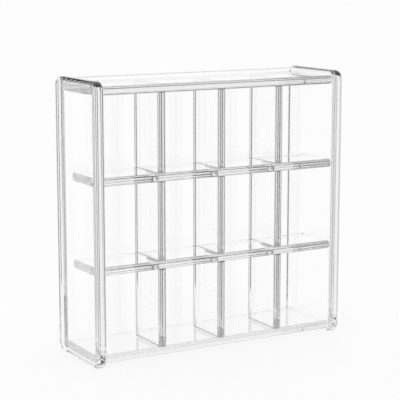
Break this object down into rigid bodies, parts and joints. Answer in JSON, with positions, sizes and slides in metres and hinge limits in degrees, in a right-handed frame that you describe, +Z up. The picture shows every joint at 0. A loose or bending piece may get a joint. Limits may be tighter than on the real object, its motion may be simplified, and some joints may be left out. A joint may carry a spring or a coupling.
{
  "type": "nail polish rack",
  "caption": "Clear acrylic countertop rack with a grid of open cells for upright nail polish bottles, thick rounded side panels and a closed back.",
  "frame": {"origin": "centre of the footprint, on the surface that the rack stands on", "axes": "+X to the right seen from the open front, +Y to the back, +Z up"},
  "size_m": [0.27, 0.0844, 0.263],
  "materials": {
    "clear_acrylic": "clear cast acrylic sheet with polished edges"
  },
  "bodies": {
    "root": {"left_side_panel": "clear_acrylic", "right_side_panel": "clear_acrylic", "bottom_plate": "clear_acrylic", "top_plate": "clear_acrylic", "back_panel": "clear_acrylic", "lower_shelf": "clear_acrylic", "upper_shelf": "clear_acrylic", "left_divider": "clear_acrylic", "middle_divider": "clear_acrylic", "right_divider": "clear_acrylic"}
  },
  "joints": []
}
